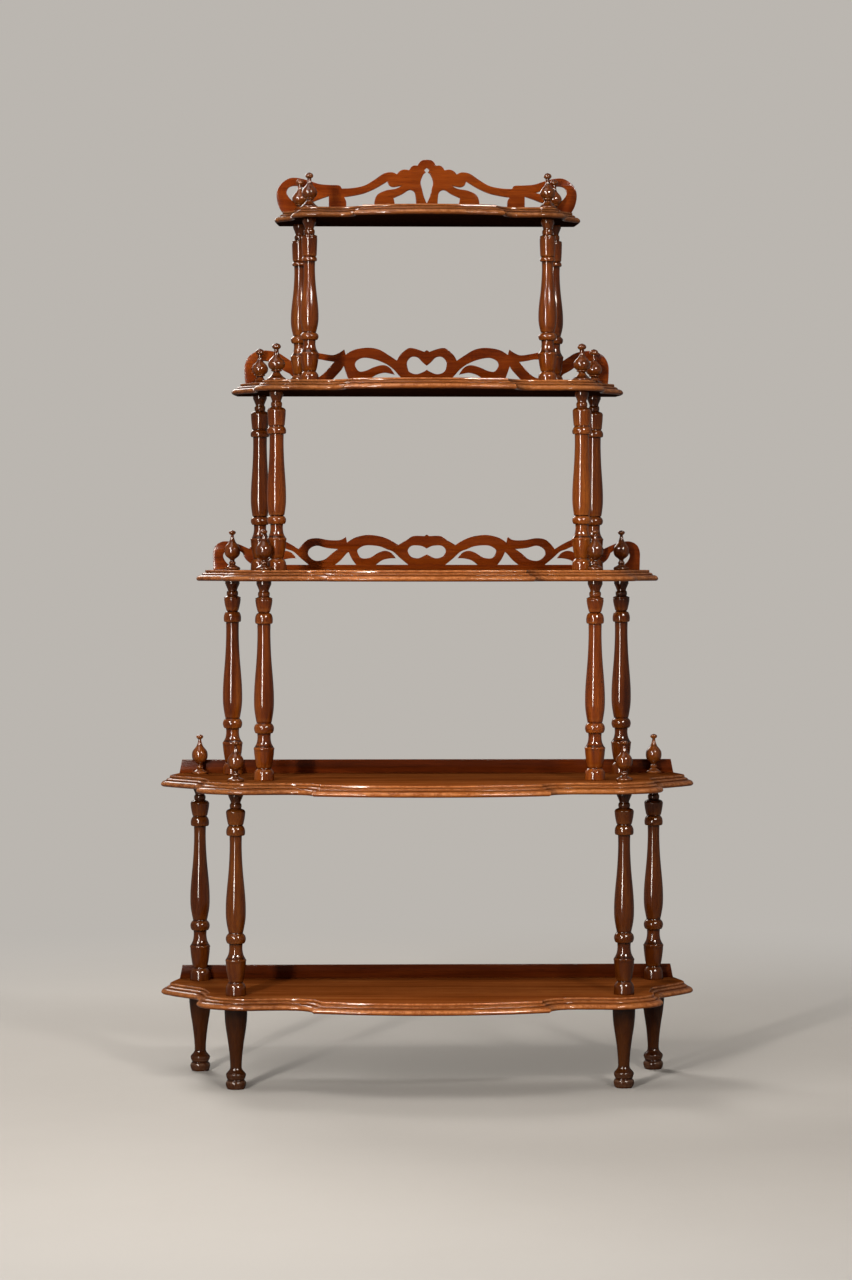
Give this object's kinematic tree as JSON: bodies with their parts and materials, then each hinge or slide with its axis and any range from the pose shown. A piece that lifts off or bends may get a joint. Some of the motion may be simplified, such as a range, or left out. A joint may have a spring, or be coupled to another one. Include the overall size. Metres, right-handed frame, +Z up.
{
  "type": "etagere",
  "caption": "Free-standing tiered etagere with serpentine moulded shelves on turned posts, onion finials, pierced fretwork galleries and turned feet.",
  "frame": {"origin": "on the floor, under the middle of the bounding box", "axes": "+Z up, the front faces -Y, +X to the right seen from the front"},
  "size_m": [0.7842, 0.314, 1.3494],
  "materials": {
    "shelf_wood": "polished mahogany, worn orange along the moulded edges",
    "fret_wood": "polished orange-brown mahogany with rubbed edges",
    "rail_wood": "dark red-brown polish",
    "post_wood": "glossy red-brown French polish",
    "finial_wood": "glossy dark red-brown French polish",
    "leg_wood": "dark red-brown polish, rubbed grey at the feet"
  },
  "bodies": {
    "root": {"shelf_1": "shelf_wood", "shelf_2": "shelf_wood", "shelf_3": "shelf_wood", "shelf_4": "shelf_wood", "shelf_5": "shelf_wood", "gallery_1": "fret_wood", "gallery_2": "fret_wood", "gallery_3": "fret_wood", "back_rail_4": "rail_wood", "back_rail_5": "rail_wood", "post_1_front_left": "post_wood", "post_1_front_right": "post_wood", "post_1_rear_left": "post_wood", "post_1_rear_right": "post_wood", "post_2_front_left": "post_wood", "post_2_front_right": "post_wood", "post_2_rear_left": "post_wood", "post_2_rear_right": "post_wood", "post_3_front_left": "post_wood", "post_3_front_right": "post_wood", "post_3_rear_left": "post_wood", "post_3_rear_right": "post_wood", "post_4_front_left": "post_wood", "post_4_front_right": "post_wood", "post_4_rear_left": "post_wood", "post_4_rear_right": "post_wood", "finial_1_front_left": "finial_wood", "finial_1_front_right": "finial_wood", "finial_1_rear_left": "finial_wood", "finial_1_rear_right": "finial_wood", "finial_2_front_left": "finial_wood", "finial_2_front_right": "finial_wood", "finial_2_rear_left": "finial_wood", "finial_2_rear_right": "finial_wood", "finial_3_front_left": "finial_wood", "finial_3_front_right": "finial_wood", "finial_3_rear_left": "finial_wood", "finial_3_rear_right": "finial_wood", "finial_4_front_left": "finial_wood", "finial_4_front_right": "finial_wood", "finial_4_rear_left": "finial_wood", "finial_4_rear_right": "finial_wood", "leg_front_left": "leg_wood", "leg_front_right": "leg_wood", "leg_rear_left": "leg_wood", "leg_rear_right": "leg_wood"}
  },
  "joints": []
}
